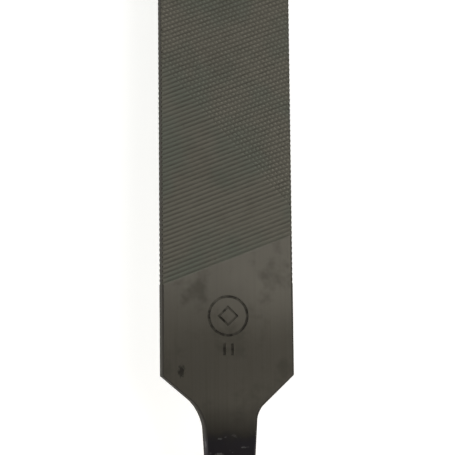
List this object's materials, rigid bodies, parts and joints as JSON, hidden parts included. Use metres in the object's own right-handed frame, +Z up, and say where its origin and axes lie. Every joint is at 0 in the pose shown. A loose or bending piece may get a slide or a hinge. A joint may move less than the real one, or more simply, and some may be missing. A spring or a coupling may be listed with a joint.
{
  "type": "flat file",
  "caption": "Flat hand file: a long toothed steel blade, tapered towards its point, on a tang driven into a turned wooden handle with a metal ferrule.",
  "frame": {"origin": "under the middle of the box, in the plane that the point's lower edge and the handle's belly lie on", "axes": "+Y towards the file's point, +Z up, +X across the blade. The file is stored lying as on a bench, so its long axis runs 2.24 degrees downhill from the handle to the point"},
  "size_m": [0.031, 0.3888, 0.0312],
  "materials": {
    "file_steel": "hardened tool steel with dark satin faces, blackened tang",
    "ferrule_brass": "drawn brass tube, handled",
    "handle_wood": "turned and varnished beech"
  },
  "bodies": {
    "file": {"file_blade": "file_steel"},
    "grip": {"ferrule": "ferrule_brass", "handle": "handle_wood"}
  },
  "joints": [
    {"name": "handle_pull", "type": "slide", "parent": "file", "child": "grip", "axis": [0, -0.9992, 0.039], "range_m": [0, 0.056]}
  ]
}
